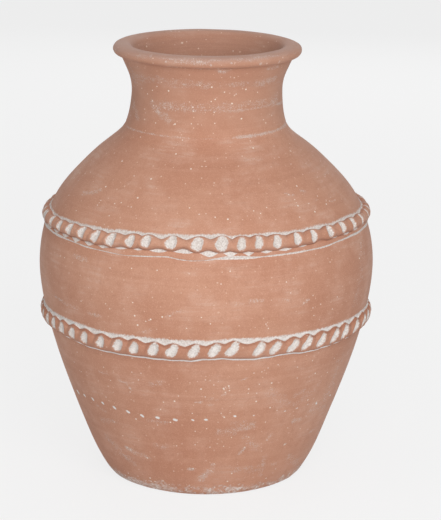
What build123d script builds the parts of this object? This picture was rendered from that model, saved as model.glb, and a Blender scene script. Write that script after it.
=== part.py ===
from build123d import *
from math import atan2, degrees, pi
import os

# A hand-built clay storage jar, in millimetres, standing on z = 0 with its axis on Z.
# Its wall is raised in sections. Each section ends in a blunt tongue that the next one
# sits over, and a rope-patterned coil is pressed over two of the joints.

# Heights of the sections, stacked from the ground up
lower_wall_top = 172.6
belly_section_height = 105.4
shoulder_height = 84.0
neck_height = 75.3
lip_height = 12.7

# Outside diameters of the wall
foot_diameter = 198.0
belly_diameter = 343.6
neck_base_diameter = 168.6
neck_waist_diameter = 153.8
neck_top_diameter = 176.0

# The clay itself, and the joints between its sections
wall_thickness = 10.0
floor_thickness = 13.0
floor_corner_radius = 14.0
dish_edge_height = 21.0
joint_tongue = 3.5

# The rolled lip, measured from the crease at the top of the neck
lip_overhang = 7.4
lip_crest_inset = 6.0
lip_bulge_height = 5.7

# Upper rope band: coil, low flange under it and the dents between its strands
upper_coil_width = 17.5
upper_coil_proud = 7.0
upper_flange_width = 15.0
upper_flange_proud = 1.2
upper_dent_length = 15.5
upper_dent_width = 9.5
upper_dent_depth = 3.4
upper_dent_pitch = 20.35
upper_dent_slant = 12.0
upper_first_dent = -3.0

# Lower rope band: a wider, flatter coil with steeper strands and no flange
lower_coil_width = 20.5
lower_coil_proud = 5.9
lower_dent_length = 18.0
lower_dent_width = 8.5
lower_dent_depth = 3.0
lower_dent_pitch = 19.6
lower_dent_slant = 30.0
lower_first_dent = -4.0

# Points of the outside between those diameters: share of the rise, share of the widening
belly_widest_share = 0.476
below_belly_shares = ((0.09, 0.168), (0.252, 0.382), (0.527, 0.69), (0.786, 0.915))
above_belly_shares = ((0.418, 0.143), (0.511, 0.222), (0.696, 0.47), (0.844, 0.719), (0.955, 0.9375))
neck_waist_share = 0.388
below_waist_shares = ((0.36, 0.59),)
above_waist_shares = ((0.577, 0.207), (0.798, 0.604))
foot_lean_shares = (0.72, 1.0)
neck_flare_shares = (0.5, 1.0)
coil_edge_share = 0.75
inner_point_count = 9
quarter_turn = 90
full_turn = 360

# Places worked out from the sizes above
belly_height = lower_wall_top + belly_widest_share * belly_section_height
upper_joint_height = lower_wall_top + belly_section_height
neck_base_height = upper_joint_height + shoulder_height
neck_waist_height = neck_base_height + neck_waist_share * neck_height
neck_top_height = neck_base_height + neck_height
jar_height = neck_top_height + lip_height
dish_height = floor_thickness + dish_edge_height


def between(start, end, share):
    """The value that lies a share of the way from start to end."""
    return start + share * (end - start)


def outside_points():
    """Radius and height of the outside, from the foot to the crease under the lip."""
    waypoints = [
        (foot_diameter, 0, ()),
        (belly_diameter, belly_height, below_belly_shares),
        (neck_base_diameter, neck_base_height, above_belly_shares),
        (neck_waist_diameter, neck_waist_height, below_waist_shares),
        (neck_top_diameter, neck_top_height, above_waist_shares),
    ]
    points = []
    low_diameter, low_height, _ = waypoints[0]
    for diameter, height, shares in waypoints:
        for height_share, growth_share in shares:
            radius = between(low_diameter, diameter, growth_share) / 2
            points.append((radius, between(low_height, height, height_share)))
        points.append((diameter / 2, height))
        low_diameter = diameter
        low_height = height
    return points


outside = Spline(*outside_points(), tangents=(foot_lean_shares, neck_flare_shares))


def place_at(height):
    """The share of the outside line at which it passes a height."""
    low = 0
    high = 1
    for _ in range(60):
        middle = (low + high) / 2
        if outside.position_at(middle).Y < height:
            low = middle
        else:
            high = middle
    return (low + high) / 2


def outward_at(place):
    """The direction square to the wall, pointing out of the jar."""
    along = outside.tangent_at(place)
    return Vector(along.Y, -along.X)


def inner_point(place):
    """The point of the inside that faces a place on the outside."""
    return outside.position_at(place) - outward_at(place) * wall_thickness


def joint_line(place):
    """A joint across the wall: outside, tip of the tongue, inside."""
    outer = outside.position_at(place)
    inner = inner_point(place)
    tip = (outer + inner) / 2 + outside.tangent_at(place) * joint_tongue
    return Polyline(outer, tip, inner)


def inner_line(low, high):
    """The inside of the wall between two places on the outside."""
    steps = inner_point_count - 1
    points = [inner_point(between(low, high, step / steps)) for step in range(inner_point_count)]
    return Spline(*points, tangents=(outside.tangent_at(low), outside.tangent_at(high)))


def turned(*lines):
    """The solid that a closed outline of radius and height sweeps about the axis."""
    edges = [edge for line in lines for edge in line.edges()]
    return revolve(Plane.XZ * make_face(edges), Axis.Z)


def wall_section(low_height, high_height):
    """One ring of the wall, with its groove below and its tongue above."""
    low = place_at(low_height)
    high = place_at(high_height)
    return turned(outside.trim(low, high), inner_line(low, high), joint_line(low), joint_line(high))


def make_base():
    """The thrown dish that the jar stands on: a floor with a turned-up edge."""
    top = place_at(dish_height)
    edge_top = inner_point(top)
    along = outside.tangent_at(top)
    corner = edge_top - along * ((edge_top.Y - floor_thickness) / along.Y)
    floor_centre = (0, floor_thickness)
    inside = FilletPolyline(floor_centre, corner, edge_top, radius=floor_corner_radius)
    underside = Polyline(floor_centre, (0, 0), (foot_diameter / 2, 0))
    return turned(outside.trim(0, top), joint_line(top), inside, underside)


def make_rim():
    """The lip, rolled outwards over the flared top of the neck."""
    crease_radius = neck_top_diameter / 2
    crest_radius = crease_radius - lip_crest_inset
    bulge_radius = crease_radius + lip_overhang
    bulge_height = neck_top_height + lip_bulge_height
    top_centre = (crest_radius, bulge_height)
    top_rise = jar_height - bulge_height
    top = EllipticalCenterArc(top_centre, bulge_radius - crest_radius, top_rise, arc_size=quarter_turn)
    under_centre = (crease_radius, bulge_height)
    under = EllipticalCenterArc(
        under_centre, lip_overhang, lip_bulge_height, -quarter_turn, arc_size=quarter_turn)
    crest = (crest_radius, jar_height)
    mouth = Spline(inner_point(1), crest, tangents=(outside.tangent_at(1), (1, 0)))
    return turned(top, under, mouth, joint_line(1))


def seated_strip(height, width, proud):
    """The round-edged section of a strip laid on the wall, half of its thickness inside it."""
    place = place_at(height)
    seat = outside.position_at(place)
    outward = outward_at(place)
    lean = degrees(atan2(outward.Y, outward.X))
    section = RectangleRounded(2 * proud, width, coil_edge_share * proud)
    return Pos(seat.X, seat.Y) * Rot(0, 0, lean) * section


def wall_backing(height, reach):
    """The section of the jar without its hollow near a height, for seating a coil on it."""
    low = place_at(height - reach)
    high = place_at(height + reach)
    start = outside.position_at(low)
    end = outside.position_at(high)
    core = Polyline(start, (0, start.Y), (0, end.Y), end)
    return make_face([outside.trim(low, high), *core.edges()])


def tool_dent(length, width, depth, proud, slant):
    """The hollow that a round-ended stick leaves: its length and width are at the surface."""
    radius = (width * width / 4 + depth * depth) / (2 * depth)
    half_run = (length - width) / 2
    tip = Sphere(radius)
    stick = Cylinder(radius, 2 * half_run) + Pos(0, 0, half_run) * tip + Pos(0, 0, -half_run) * tip
    lying = Rot(0, 0, -slant) * Rot(quarter_turn, 0, 0) * stick
    return Pos(0, 0, proud - depth + radius) * lying


def round_the_wall(shape, height, pitch, first_angle):
    """Copies of a shape, its Z pointing out of the wall, spaced evenly round a coil."""
    place = place_at(height)
    seat = outside.position_at(place)
    outward = outward_at(place)
    wall = Plane((seat.X, 0, seat.Y), x_dir=(0, 1, 0), z_dir=(outward.X, 0, outward.Y))
    count = round(2 * pi * seat.X / pitch)
    seated = wall * shape
    start = first_angle - quarter_turn
    return [Rot(0, 0, start + full_turn * turn / count) * seated for turn in range(count)]


def make_upper_band():
    """The rope band over the joint between belly and shoulder, with its low flange."""
    height = upper_joint_height
    coil = seated_strip(height, upper_coil_width, upper_coil_proud)
    flange = seated_strip(height - upper_flange_width / 2, upper_flange_width, upper_flange_proud)
    section = coil + flange - wall_backing(height, upper_coil_width + upper_flange_width)
    dent = tool_dent(
        upper_dent_length, upper_dent_width, upper_dent_depth, upper_coil_proud, upper_dent_slant)
    ring = revolve(Plane.XZ * section, Axis.Z)
    return ring - round_the_wall(dent, height, upper_dent_pitch, upper_first_dent)


def make_lower_band():
    """The rope band over the joint between lower wall and belly."""
    height = lower_wall_top
    coil = seated_strip(height, lower_coil_width, lower_coil_proud)
    section = coil - wall_backing(height, lower_coil_width)
    dent = tool_dent(
        lower_dent_length, lower_dent_width, lower_dent_depth, lower_coil_proud, lower_dent_slant)
    ring = revolve(Plane.XZ * section, Axis.Z)
    return ring - round_the_wall(dent, height, lower_dent_pitch, lower_first_dent)


def write(node, shape):
    """One file for each piece, named after it."""
    shape.label = node
    export_step(shape, os.path.join("parts", node + ".step"))


os.makedirs("parts", exist_ok=True)
write("base", make_base())
write("lower_wall", wall_section(dish_height, lower_wall_top))
write("belly", wall_section(lower_wall_top, upper_joint_height))
write("shoulder", wall_section(upper_joint_height, neck_base_height))
write("neck", wall_section(neck_base_height, neck_top_height))
write("rim", make_rim())
write("upper_rope_band", make_upper_band())
write("lower_rope_band", make_lower_band())
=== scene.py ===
import math

import bpy
import numpy as np
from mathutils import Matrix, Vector


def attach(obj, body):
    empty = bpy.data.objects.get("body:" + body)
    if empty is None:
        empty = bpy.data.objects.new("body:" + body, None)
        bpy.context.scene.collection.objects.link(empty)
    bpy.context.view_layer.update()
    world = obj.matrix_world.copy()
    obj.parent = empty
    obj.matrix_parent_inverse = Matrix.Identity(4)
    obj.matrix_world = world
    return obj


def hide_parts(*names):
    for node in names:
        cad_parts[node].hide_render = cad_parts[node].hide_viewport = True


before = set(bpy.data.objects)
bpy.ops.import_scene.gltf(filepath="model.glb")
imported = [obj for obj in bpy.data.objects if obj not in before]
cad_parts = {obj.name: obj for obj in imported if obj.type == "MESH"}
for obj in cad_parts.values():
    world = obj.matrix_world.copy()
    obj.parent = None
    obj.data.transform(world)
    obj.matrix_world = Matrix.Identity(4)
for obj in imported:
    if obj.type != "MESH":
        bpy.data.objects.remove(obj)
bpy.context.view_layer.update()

# Everything below is worked out in millimetres and written to the meshes in metres.
MM = 0.001

# The photograph's frame and the camera that matches it. Pixels are those of the photograph.
frame_width = 441
frame_height = 520
camera_distance = 2685.0
camera_elevation = math.radians(14.9)
camera_aim_height = 221.5
camera_lens = 180.0
camera_sensor = 36.0
axis_column = 206.2
pixels_away = frame_height * camera_lens / camera_sensor

# Heights of the joints between the clay sections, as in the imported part
base_top = 34.0
lower_wall_top = 172.6
belly_top = 278.0
shoulder_top = 362.0
neck_top = 437.3
wall_thickness = 10.0
lip_thickening = 4.0
floor_thickness = 13.0
wall_nodes = ("base", "lower_wall", "belly", "shoulder", "neck", "rim")

# How the hand-built jar strays from a true turning: sideways lean at some heights, tilted lip
lean_heights = (0, 60, 150, 240, 350, 400, 445)
lean_sides = (-0.9, -0.9, 0.0, 0.3, -1.1, 0.8, 1.1)
rim_tilt_right = math.radians(0.7)
rim_tilt_back = math.radians(0.9)
tilt_start = 395.0
tilt_end = 431.0

# The tooled line round the bottom of the neck, and how far above it the lime in it lies
groove_height = 366.6
groove_half_width = 1.1
groove_lime_rise = 0.3

# Fineness of the meshes
wall_columns = 960
band_columns = 1320
coil_rows = 35
wall_step = 2.0
fine_step = 0.7
wall_back_step = 5.0
fine_back_step = 2.0


def smooth(low, high, value):
    """0 below low, 1 above high and an even ease between them."""
    share = np.clip((value - low) / (high - low), 0, 1)
    return share * share * (3 - 2 * share)


def wrapped(angle):
    """An angle brought between minus and plus half a turn."""
    return (angle + math.pi) % (2 * math.pi) - math.pi


def wave(around, seed, cells):
    """A gentle seeded wander round the jar, from -1 to 1."""
    return noise(around, 0 * around, seed, cells, 1.0)


def noise(around, along, seed, cells_round, cell_length):
    """Seeded smooth noise from -1 to 1 over the wall, seamless round the jar."""
    lattice_rows = 97
    lattice = np.random.default_rng(seed).uniform(-1, 1, (lattice_rows, cells_round))
    across = np.asarray(around) / (2 * math.pi) * cells_round
    up = np.asarray(along) / cell_length
    column = np.floor(across).astype(int)
    row = np.floor(up).astype(int)
    side = smooth(0, 1, across - column)
    rise = smooth(0, 1, up - row)
    column_a = column % cells_round
    column_b = (column + 1) % cells_round
    row_a = row % lattice_rows
    row_b = (row + 1) % lattice_rows
    low = lattice[row_a, column_a] * (1 - side) + lattice[row_a, column_b] * side
    high = lattice[row_b, column_a] * (1 - side) + lattice[row_b, column_b] * side
    return low * (1 - rise) + high * rise


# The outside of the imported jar, read by casting rays at its nodes along one of their seams
def hit(origin, direction):
    """The nearest point in millimetres where a ray meets the jar's wall, or None."""
    start = Vector(origin) * MM
    along = Vector(direction).normalized()
    best = None
    for name in wall_nodes:
        found, point, _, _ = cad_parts[name].ray_cast(start, along)
        if found and (best is None or (point - start).length < (best - start).length):
            best = point
    return None if best is None else best / MM


def read_outside():
    """Arc length, radius, height and outward direction along the outside of the wall."""
    far_away = 300.0
    seam_offset = 0.01
    end_gap = 0.2
    level_step = 1.0
    spread = 1.6
    levels = np.arange(end_gap, neck_top, level_step)
    radii = np.array([hit((far_away, seam_offset, level), (-1, 0, 0)).x for level in levels])
    reach = 6
    offsets = np.arange(-reach, reach + 1)
    weights = np.exp(-0.5 * (offsets * level_step / spread) ** 2)
    weights /= weights.sum()
    padded = np.pad(radii, reach, mode="reflect", reflect_type="odd")
    radii = np.convolve(padded, weights, mode="valid")
    heights = np.concatenate(([0.0], levels, [neck_top]))
    radii = np.interp(heights, levels, radii)
    for end, near, further in ((0, 1, 2), (-1, -2, -3)):
        slope = (radii[near] - radii[further]) / (heights[near] - heights[further])
        radii[end] = radii[near] + slope * (heights[end] - heights[near])
    length = np.concatenate(([0.0], np.cumsum(np.hypot(np.diff(radii), np.diff(heights)))))
    run = np.gradient(radii, length)
    rise = np.gradient(heights, length)
    size = np.hypot(run, rise)
    return length, radii, heights, rise / size, -run / size


skin_s, skin_r, skin_z, skin_nr, skin_nz = read_outside()


def s_at(height):
    """Arc length up the wall at which the outside reaches a height."""
    return np.interp(height, skin_z, skin_s)


def wall_wobble(s, around):
    """How far the wall swells or sinks from a true turning, in millimetres."""
    layers = ((0.45, 11, 6, 120.0), (0.16, 12, 17, 34.0), (0.05, 13, 60, 11.0))
    return sum(rise * noise(around, s, seed, cells, length) for rise, seed, cells, length in layers)


def groove_line(around, rise):
    """Arc length of the tooled line round the bottom of the neck, or of one just above it."""
    return s_at(groove_height + rise) + 0.8 * wave(around, 21, 9)


def neck_groove(s, around):
    """The shallow tooled line round the bottom of the neck."""
    line = groove_line(around, 0.0)
    depth = 0.45 + 0.2 * wave(around, 22, 14)
    return -depth * np.exp(-(((s - line) / groove_half_width) ** 2))


def placed(radius, height, around):
    """Points in metres from radii and heights in millimetres at angles round the jar."""
    lean = np.interp(height, lean_heights, lean_sides)
    x = radius * np.sin(around)
    y = -radius * np.cos(around)
    fall = math.tan(rim_tilt_right) * x + math.tan(rim_tilt_back) * y
    z = height - smooth(tilt_start, tilt_end, height) * fall
    return np.stack(np.broadcast_arrays(x + lean, y, z), axis=-1) * MM


def skin_at(s):
    """Radius, height and outward direction of the outside at arc lengths."""
    return [np.interp(s, skin_s, values) for values in (skin_r, skin_z, skin_nr, skin_nz)]


def wall_point(s, around, proud):
    """Points on the outside, moved out by a distance in millimetres."""
    radius, height, out_r, out_z = skin_at(s)
    off = proud + wall_wobble(s, around) + neck_groove(s, around)
    return placed(radius + out_r * off, height + out_z * off, around)


def angles(columns):
    """Even angles round the jar. 0 faces the camera and they grow to the right."""
    return np.arange(columns) * (2 * math.pi / columns)


# The camera, which also turns pixels of the photograph into places on the wall
def add_camera():
    """The photograph's viewpoint, with a small sideways shift for its framing."""
    data = bpy.data.cameras.new("camera")
    data.lens = camera_lens
    data.sensor_width = camera_sensor
    data.sensor_fit = "AUTO"
    data.shift_x = (frame_width / 2 - axis_column) / frame_height
    data.clip_end = 100
    camera = bpy.data.objects.new("camera", data)
    bpy.context.scene.collection.objects.link(camera)
    camera.location = Vector(camera_place()) * MM
    camera.rotation_euler = (math.pi / 2 - camera_elevation, 0, 0)
    bpy.context.scene.camera = camera


def camera_place():
    """Where the camera stands, in millimetres."""
    back = camera_distance * math.cos(camera_elevation)
    return 0.0, -back, camera_aim_height + camera_distance * math.sin(camera_elevation)


def seen_at(column, row):
    """Arc length and angle of the place on the wall that a pixel shows, or None."""
    right = (column - axis_column) / pixels_away
    up = (frame_height / 2 - row) / pixels_away
    rise = up * math.cos(camera_elevation) - math.sin(camera_elevation)
    ahead = up * math.sin(camera_elevation) + math.cos(camera_elevation)
    point = hit(camera_place(), (right, ahead, rise))
    if point is None:
        return None
    return s_at(point.z), math.atan2(point.x, -point.y)


def column_angles(columns, radius, height):
    """Angles round the jar at which points of a radius and height show in some pixel columns."""
    around = np.radians(np.linspace(-80, 80, 321))
    toward = radius * np.cos(around) * math.cos(camera_elevation)
    toward = toward + (height - camera_aim_height) * math.sin(camera_elevation)
    shown = axis_column + pixels_away * radius * np.sin(around) / (camera_distance - toward)
    return np.interp(columns, shown, around)


add_camera()

# Lime left on the wall: strokes from one pixel to another, half width in mm and strength
smears = (
    (192, 70.4, 214, 70.8, 1.6, 0.35),
    (216, 71.2, 230, 71.4, 2.2, 0.45),
    (219, 72.8, 224, 73.4, 3.0, 0.5),
    (267, 69, 277, 66.6, 3.6, 0.45),
    (131, 79, 160, 81, 6.4, 0.3),
    (158, 82.5, 200, 84.5, 7.0, 0.2),
    (184, 85.4, 206, 87.4, 4.4, 0.4),
    (256, 84, 274, 78.5, 6.0, 0.4),
    (206, 85, 258, 84, 6.4, 0.08),
    (151, 103, 158, 111, 5.6, 0.4),
    (157, 110, 168, 119.5, 6.6, 0.5),
    (160, 105, 204, 109, 7.4, 0.26),
    (200, 109, 252, 104, 7.4, 0.16),
    (214, 111, 247, 109.2, 1.8, 0.45),
    (247, 109.2, 262, 106.5, 2.0, 0.6),
    (262, 106.5, 281, 102.2, 2.2, 0.7),
    (240, 104, 276, 99, 6.4, 0.2),
    (132, 100, 138, 118, 7.0, 0.2),
    (131, 72, 134, 84, 6.0, 0.2),
    (84, 193.5, 101, 190.5, 4.4, 0.35),
    (74, 256, 86, 260, 4.0, 0.35),
    (72, 190, 80, 180, 5.0, 0.05),
    (330, 201, 336, 200.5, 1.4, 0.5),
    (296, 206.2, 301, 205.3, 1.2, 0.6),
    (303.5, 303.5, 308, 300, 3.0, 0.4),
    (300, 190.5, 306, 191, 2.6, 0.3),
    (313, 199.5, 318, 199.5, 2.4, 0.3),
    (287, 194, 293, 195, 3.6, 0.2),
    (250, 301, 262, 301, 3.2, 0.3),
    (276, 301, 288, 300, 3.2, 0.2),
    (236, 304, 244, 304, 2.4, 0.2),
    (55, 296, 62, 301, 3.0, 0.35),
    (64, 303, 77, 309, 4.0, 0.25),
    (88, 313, 100, 317, 3.4, 0.3),
    (166, 317, 182, 310, 2.6, 0.25),
    (140, 332, 150, 330, 3.0, 0.2),
    (119.5, 380.8, 126, 382.6, 2.0, 0.6),
    (127, 385.2, 130, 385.8, 1.4, 0.5),
    (129.4, 388.2, 131.4, 389.4, 1.6, 0.8),
    (109, 392.4, 112.6, 392.6, 1.2, 0.6),
    (99.7, 371.5, 107.8, 374, 2.6, 0.25),
    (150, 384.5, 162, 383, 4.6, 0.3),
    (196, 402.4, 202, 402.2, 1.6, 0.85),
    (97.3, 405.5, 106, 411.2, 3.0, 0.35),
    (102, 419, 114.5, 421.8, 5.0, 0.25),
    (149, 420.5, 167, 422.5, 3.6, 0.3),
    (241.4, 380.6, 248, 378.2, 1.6, 0.45),
    (216.5, 400.7, 227, 392.1, 2.6, 0.3),
    (210, 399, 212, 398.5, 4.0, 0.25),
    (208, 405.6, 213, 405, 2.4, 0.35),
    (220, 432, 236, 433, 6.0, 0.35),
    (236, 430, 254, 425.6, 6.0, 0.42),
    (232, 423, 246, 422, 3.6, 0.25),
    (295, 396, 304, 391, 4.4, 0.35),
    (325, 395.4, 329, 392.5, 2.6, 0.4),
    (294, 421, 300, 420.6, 5.0, 0.4),
    (310, 412, 325, 407, 5.0, 0.3),
    (270, 392, 292, 406, 9.0, 0.05),
    (300, 402, 318, 386, 9.0, 0.1),
    (311, 432, 316, 428.5, 3.2, 0.3),
    (268, 440, 272, 435, 2.6, 0.35),
    # The two broad faint strokes at the right side grey the clay near its edge: partly dust, partly painted
    # sheen.
    (340, 362, 326, 400, 15.0, 0.05),
    (362, 242, 356, 300, 13.0, 0.0),
    (127.3, 447.4, 133, 450, 3.6, 0.8),
    (134, 451.5, 150, 458.5, 5.0, 0.25),
    (123, 454, 134, 462, 8.0, 0.3),
    (109, 438, 119, 448, 8.0, 0.2),
    (157, 445, 168, 447, 5.0, 0.25),
    (240, 454.6, 245, 449, 2.4, 0.55),
    (246, 438, 257, 447, 7.0, 0.2),
    (265.7, 457, 261.4, 475, 4.4, 0.3),
    (273, 465, 276, 464, 3.0, 0.4),
    (236, 471, 262, 468, 7.0, 0.2),
    (189.7, 469.2, 195, 469.2, 2.6, 0.7),
    (214.5, 465, 213, 471, 3.8, 0.5),
    (209, 472, 201, 480, 5.6, 0.6),
    (285, 445, 287, 443.6, 1.8, 0.7),
    (289, 458, 298, 463, 8.0, 0.2),
    (112, 466, 124, 476, 5.0, 0.5),
)

# Pale grains that are large enough to find in the photograph
fleck_reach = 3.6
grain_size = 0.85
large_grains = (
    (210.8, 88), (245, 89.7), (167.6, 91.6), (231.2, 103.6), (192, 107.4), (175, 124.1), (123, 161),
    (152, 179), (177, 154), (192, 169), (254, 148), (106.5, 186.6), (138.4, 197.8), (297.5, 186),
    (298.5, 205.7), (326.9, 204), (315.4, 211.7), (228.3, 219.3), (150.5, 319.3), (134.5, 315.7),
    (137.5, 325), (162, 316.9), (359.4, 258.3), (306.1, 300.2), (241.2, 118.7), (129.9, 388.8),
    (136.6, 419.1), (171, 422.4), (174.8, 401.4), (201.3, 389.2), (249, 389.4), (256.7, 401.7),
    (272, 383.3), (270.8, 407.9), (313.6, 374), (315.6, 373.6), (308.5, 400), (317.2, 402.6),
    (224.9, 417.5), (223.8, 388.6), (229, 386.2), (195.4, 469), (228.4, 481.6), (187.5, 489.2),
    (232.7, 473.7), (267.9, 478.4), (245.7, 447.5), (285.9, 444.6), (151, 478), (156, 481.6),
    (163.9, 480.9), (129.4, 473), (130.2, 448.4), (131.4, 449.8), (128.2, 447.2), (194, 468.8),
    (148.2, 458), (152, 481.4), (187.2, 490), (267, 478.4),
)
fine_grain_size = 0.58
fine_grains = (
    (140.8, 88.9), (146.6, 94.2), (156, 87.4), (151.5, 90.9), (151.5, 100.7), (152.9, 105.8), (164.3, 108),
    (144.2, 109.1), (155.6, 122.9), (191.3, 123.7), (223.6, 92.6), (214.6, 99.6), (210.4, 101.7),
    (192.8, 111.5), (271.4, 115.4), (263.3, 119.7), (256.6, 92.4), (235.2, 94.4), (233.2, 78.6),
    (199, 86.6), (214.7, 123.4), (213.8, 112.5), (135, 176), (183, 140), (141, 137), (292, 164), (318, 196),
    (98, 205), (101.4, 200.4), (121.9, 202.6), (115.3, 203.5), (69.5, 195.3), (131.8, 207), (109.5, 215.7),
    (76.6, 210.5), (199.7, 214.4), (254.2, 210.9), (267.2, 207.5), (261.1, 213.4), (215.7, 217.4),
    (190.2, 208), (289.3, 194.6), (300.1, 217.1), (309.3, 203.5), (295.3, 199.5), (330, 201), (335.5, 200),
    (230, 271.3), (131.5, 268.3), (157, 270.3), (286.1, 282), (220.8, 284), (64.3, 257.6), (110, 268),
    (330, 262), (361.3, 251.6), (361.1, 242.4), (105.4, 303.8), (109.6, 308.8), (80.9, 301.1),
    (132.5, 302.5), (145.6, 321.3), (169.7, 316), (201.2, 317.4), (210.3, 323.8), (265.8, 324.1),
    (268.2, 328.4), (186.4, 328.4), (290.5, 292.9), (337.1, 296.9), (312.8, 295.4), (320.5, 304.2),
    (312.8, 307.9), (313.8, 315.6), (332.3, 309.1), (303.6, 303.1), (77.1, 351.6), (268.2, 368.1),
    (254.4, 372.9), (214, 385), (262, 372), (205.5, 397.1), (205.5, 380), (138.5, 380.1), (110.7, 380.4),
    (103.7, 367.2), (131.8, 372.2), (140.9, 373.4), (106.4, 397.1), (163.8, 402.4), (178.7, 396.2),
    (161, 409.5), (115.3, 422), (124.1, 435.6), (189.7, 413.6), (192.7, 413.6), (207.4, 429),
    (195.9, 431.5), (77.2, 352.1), (81.5, 371.5), (74.4, 362), (130.3, 392.1), (229.9, 390.7),
    (225.6, 392.6), (248.7, 393.5), (254.1, 373.2), (259.7, 384.5), (278.2, 364.8), (277.7, 410.5),
    (312.7, 360.7), (297.6, 378.2), (297.8, 367.2), (334.7, 358.4), (327.8, 372.5), (334.5, 383.5),
    (257.2, 393.5), (266.2, 422.4), (306.9, 416.2), (221.7, 413.6), (288.7, 428), (301.2, 428.7),
    (267.7, 439.7), (249.5, 437.3), (232.3, 437.6), (158.1, 425.1), (267.9, 440), (177.5, 446),
    (195.9, 445), (210.9, 447.5), (224.6, 446.5), (174.6, 471.3), (215.2, 464.1), (276.5, 469),
    (123.7, 435.7), (201.2, 480.2), (205.5, 474.5), (212, 470.9), (215.5, 488), (220, 486.5), (240, 485),
    (192, 487.6), (170, 484.5), (147, 480.5), (139, 476), (142, 481.5), (134, 477.4), (121, 471),
    (290, 474),
)

# Dots pricked round the lower wall: the pixels that show them, and their height
prick_pixels = (
    (78.6, 392), (84.9, 395.4), (93.1, 399.1), (103, 403.1), (114.9, 407.9), (128.5, 411.9),
    (142.6, 415.9), (158.1, 417.8), (175.7, 420.1), (193.3, 420.5), (206.5, 420.1),
    (235.6, 416.5), (254.8, 415.9), (285.8, 411.5), (297.8, 408.5), (308.7, 404.6),
)
prick_height = 93.5
prick_pitch = 15.5
prick_radius = 1.25
prick_depth = 0.5

# How each of those dots slants, in degrees, and how much lime it holds
prick_looks = (
    (-28, 1.3), (-30, 1.0), (-34, 1.0), (-34, 0.9), (-36, 1.0), (-28, 1.0), (-38, 1.0), (-8, 1.0),
    (-18, 1.0), (-30, 0.7), (-16, 0.85), (-20, 0.75), (-16, 0.45), (10, 0.5), (12, 0.55), (16, 0.4))


def on_wall(strokes):
    """Strokes given in pixels, turned into arc lengths and angles on the wall."""
    found = []
    for column_a, row_a, column_b, row_b, width, strength in strokes:
        start = seen_at(column_a, row_a)
        end = seen_at(column_b, row_b)
        if start and end:
            found.append((*start, *end, width, strength))
    return found


wall_smears = on_wall(smears)
wall_grains = (
    (grain_size, [seen_at(*pixel) for pixel in large_grains]),
    (fine_grain_size, [seen_at(*pixel) for pixel in fine_grains]),
)
front_pricks = [seen_at(*pixel) for pixel in prick_pixels]

# What the marks on a mesh say where nothing is painted
unmarked = {"chalk": -1.0, "smear": -1.0, "fleck": 10 * fleck_reach, "shade": 0.0, "whiter_lime_and_painted_light": 0.0}


def all_pricks():
    """Arc length, angle, slant and lime of every pricked dot, the hidden ones evenly spaced."""
    dots = []
    for (s, around), (slant, strength) in zip(front_pricks, prick_looks):
        dots.append((s, around, math.radians(slant), strength))
    random = np.random.default_rng(31)
    step = prick_pitch / np.interp(prick_height, skin_z, skin_r)
    angle = front_pricks[-1][1] + step
    last = front_pricks[0][1] + 2 * math.pi - step
    while angle < last:
        height = prick_height + random.normal(0, 0.5)
        slant = math.radians(random.uniform(-40, 0))
        dots.append((s_at(height), angle, slant, random.uniform(0.3, 1.0)))
        angle += step * random.uniform(0.75, 1.3)
    return dots


pricks = all_pricks()


def beside(s, around, spot_s, spot_angle, reach):
    """The rows of a grid near a spot, and how far right and up of the spot their points lie."""
    rows = np.abs(s[:, 0] - spot_s) < reach
    local = np.interp(spot_s, skin_s, skin_r)
    return rows, wrapped(around[rows] - spot_angle) * local, s[rows] - spot_s


def add_dot(amount, depth, s, around, dot):
    """Raises a chalk amount, and a pit's depth, round one pricked dot."""
    dot_s, dot_angle, slant, strength = dot
    rows, sideways, up = beside(s, around, dot_s, dot_angle, 4 * prick_radius)
    along = sideways * math.cos(slant) + up * math.sin(slant)
    across = up * math.cos(slant) - sideways * math.sin(slant)
    distance = np.hypot(along * 0.66, across * 1.15) / prick_radius
    amount[rows] = np.maximum(amount[rows], np.clip(strength * 1.4 - distance, -1, 1))
    depth[rows] -= prick_depth * np.exp(-(distance ** 2))


def add_stroke(amount, s, around, stroke):
    """Raises a smear's amount along one stroke."""
    start_s, start_angle, end_s, end_angle, width, strength = stroke
    rows = (s[:, 0] > min(start_s, end_s) - 3 * width) & (s[:, 0] < max(start_s, end_s) + 3 * width)
    if not rows.any():
        return
    local = np.interp(0.5 * (start_s + end_s), skin_s, skin_r)
    middle = 0.5 * (start_angle + end_angle)
    x = wrapped(around[rows] - middle) * local
    y = s[rows] - start_s
    run = (end_angle - start_angle) * local
    rise = end_s - start_s
    span = run * run + rise * rise + 1e-9
    share = np.clip(((x + run / 2) * run + y * rise) / span, 0, 1)
    distance = np.hypot(x + run / 2 - share * run, y - share * rise)
    value = strength - (distance / width) ** 2
    amount[rows] = np.maximum(amount[rows], np.clip(value, -1, 1))


def wall_marks(s, around):
    """What is painted on the wall, amounts from -1 to 1, and the pits of the pricked dots."""
    chalk = np.full(around.shape, unmarked["chalk"])
    smear = np.full(around.shape, unmarked["smear"])
    fleck = np.full((*around.shape, 3), unmarked["fleck"])
    pits = np.zeros(around.shape)
    for dot in pricks:
        add_dot(chalk, pits, s, around, dot)
    for size, places in wall_grains:
        for place in places:
            add_fleck(fleck, s, around, place, size)
    for stroke in wall_smears:
        add_stroke(smear, s, around, stroke)
    dust = foot_lime(s, around)
    smear = np.maximum.reduce([smear, neck_lime(s, around), dust])
    crumbs = dust + noise(around, s, 47, 340, 1.2) - 0.95
    chalk = np.maximum(chalk, np.clip(crumbs, -1, 0.2))
    return {"chalk": chalk, "smear": smear, "fleck": fleck}, pits


def add_fleck(fleck, s, around, place, size):
    """Writes the way to one grain, counted in its own sizes, on the wall round it."""
    rows, sideways, up = beside(s, around, *place, fleck_reach)
    near = np.hypot(sideways, up) < fleck_reach
    way = np.stack([sideways / size, up / size, 0 * up], axis=-1)
    fleck[rows] = np.where(near[..., None], way, fleck[rows])


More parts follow.
